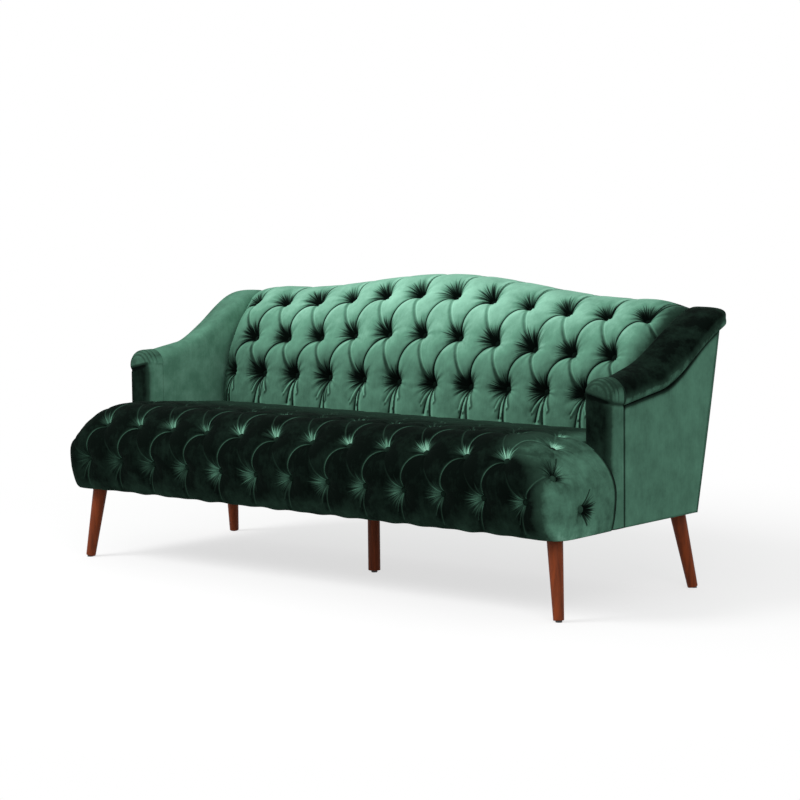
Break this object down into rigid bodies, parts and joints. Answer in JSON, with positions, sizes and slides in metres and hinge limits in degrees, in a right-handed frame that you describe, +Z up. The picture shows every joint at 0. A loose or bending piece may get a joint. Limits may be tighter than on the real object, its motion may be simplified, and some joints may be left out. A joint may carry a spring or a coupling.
{
  "type": "sofa",
  "caption": "Camel-back sofa in deep-buttoned green velvet with swooping rolled arms, a T-shaped tight seat and splayed tapered wooden legs.",
  "frame": {"origin": "on the floor under the middle of the sofa", "axes": "+X along the sofa to a facing viewer's right, +Y to the rear, +Z up"},
  "size_m": [1.9154, 0.8455, 0.859],
  "materials": {
    "velvet": "emerald velvet",
    "leg_wood": "satin walnut stain",
    "frame_wood": "planed hardwood",
    "lining_board": "fibreboard",
    "foam": "upholstery foam",
    "steel": "zinc-plated steel",
    "lining_cloth": "black non-woven cloth",
    "webbing": "elastic webbing",
    "glide_plastic": "plastic glide"
  },
  "bodies": {
    "root": {"seat_cover": "velvet", "back_cover": "velvet", "left_arm_pad": "velvet", "right_arm_pad": "velvet", "left_arm_front_pad": "velvet", "right_arm_front_pad": "velvet", "left_outside_arm_panel": "velvet", "right_outside_arm_panel": "velvet", "outside_back_panel": "velvet", "seat_buttons": "velvet", "back_buttons": "velvet", "left_front_leg": "leg_wood", "right_front_leg": "leg_wood", "left_rear_leg": "leg_wood", "right_rear_leg": "leg_wood", "centre_leg": "leg_wood", "front_rail": "frame_wood", "rear_rail": "frame_wood", "left_side_rail": "frame_wood", "right_side_rail": "frame_wood", "centre_stretcher": "frame_wood", "cross_stretchers": "frame_wood", "corner_blocks": "frame_wood", "left_back_post": "frame_wood", "right_back_post": "frame_wood", "lower_back_rail": "frame_wood", "back_top_rail": "frame_wood", "back_uprights": "frame_wood", "left_arm_post": "frame_wood", "right_arm_post": "frame_wood", "left_arm_top_rail": "frame_wood", "right_arm_top_rail": "frame_wood", "left_arm_tack_rail": "frame_wood", "right_arm_tack_rail": "frame_wood", "left_arm_lining_board": "lining_board", "right_arm_lining_board": "lining_board", "seat_foam": "foam", "back_foam": "foam", "leg_plates": "steel", "leg_bolts": "steel", "leg_plate_screws": "steel", "seat_springs": "steel", "spring_clips": "steel", "seat_deck_cloth": "lining_cloth", "dust_cover": "lining_cloth", "back_webbing": "webbing", "foot_glides": "glide_plastic"}
  },
  "joints": []
}
